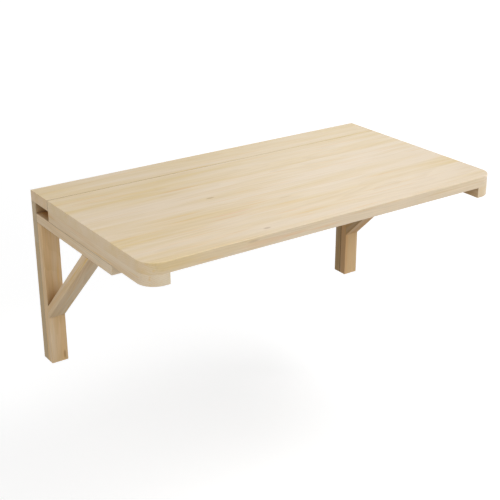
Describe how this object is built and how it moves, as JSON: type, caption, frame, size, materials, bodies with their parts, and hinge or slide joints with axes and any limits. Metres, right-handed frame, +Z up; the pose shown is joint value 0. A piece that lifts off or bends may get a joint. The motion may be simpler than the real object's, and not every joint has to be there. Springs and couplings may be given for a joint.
{
  "type": "wall-mounted folding laptop table",
  "caption": "Pale pine wall table with a fixed ledge, a hinged drop leaf with rounded front corners and end battens, and swing-out brackets with arms and diagonal braces.",
  "frame": {"origin": "on the wall plane, at the centre of the rail's four wall-screw holes", "axes": "+X along the wall to the right as seen from the room, +Y into the wall, +Z up"},
  "size_m": [0.9, 0.5, 0.408],
  "materials": {
    "pine_top": "clear satin lacquer on pale pine",
    "pine_frame": "clear satin lacquer on pale pine",
    "dowel_beech": "bare beech",
    "hinge_steel": "zinc-plated steel",
    "screw_steel": "zinc-plated steel"
  },
  "bodies": {
    "wall_frame": {"ledge_board": "pine_top", "wall_rail": "pine_frame", "wall_post_left": "pine_frame", "wall_post_right": "pine_frame", "ledge_dowels": "dowel_beech", "post_dowels": "dowel_beech", "left_leaf_hinge_ledge_plate": "hinge_steel", "middle_leaf_hinge_ledge_plate": "hinge_steel", "right_leaf_hinge_ledge_plate": "hinge_steel", "leaf_hinge_pins": "hinge_steel", "ledge_hinge_screws": "screw_steel", "left_upper_hinge_wall_plate": "hinge_steel", "left_lower_hinge_wall_plate": "hinge_steel", "right_upper_hinge_wall_plate": "hinge_steel", "right_lower_hinge_wall_plate": "hinge_steel", "bracket_hinge_pins": "hinge_steel", "wall_hinge_screws": "screw_steel"},
    "leaf": {"leaf_stave_1": "pine_top", "leaf_stave_2": "pine_top", "leaf_stave_3": "pine_top", "leaf_stave_4": "pine_top", "end_batten_left": "pine_top", "end_batten_right": "pine_top", "batten_screws": "screw_steel", "left_leaf_hinge_leaf_plate": "hinge_steel", "middle_leaf_hinge_leaf_plate": "hinge_steel", "right_leaf_hinge_leaf_plate": "hinge_steel", "leaf_hinge_screws": "screw_steel"},
    "left_bracket": {"swing_post_left": "pine_frame", "support_arm_left": "pine_frame", "diagonal_brace_left": "pine_frame", "bracket_dowels_left": "dowel_beech", "left_upper_hinge_bracket_plate": "hinge_steel", "left_lower_hinge_bracket_plate": "hinge_steel", "bracket_hinge_screws_left": "screw_steel"},
    "right_bracket": {"swing_post_right": "pine_frame", "support_arm_right": "pine_frame", "diagonal_brace_right": "pine_frame", "bracket_dowels_right": "dowel_beech", "right_upper_hinge_bracket_plate": "hinge_steel", "right_lower_hinge_bracket_plate": "hinge_steel", "bracket_hinge_screws_right": "screw_steel"}
  },
  "joints": [
    {"name": "left_bracket_swing", "type": "hinge", "parent": "wall_frame", "child": "left_bracket", "pos_m": [-0.4075, -0.02125, -0.096], "axis": [0, 0, 1], "range_deg": [0, 90]},
    {"name": "right_bracket_swing", "type": "hinge", "parent": "wall_frame", "child": "right_bracket", "pos_m": [0.4075, -0.02125, -0.096], "axis": [0, 0, -1], "range_deg": [0, 90]},
    {"name": "leaf_lift", "type": "hinge", "parent": "wall_frame", "child": "leaf", "pos_m": [0, -0.0835, 0.0427], "axis": [-1, 0, 0], "range_deg": [0, 1.5]}
  ]
}
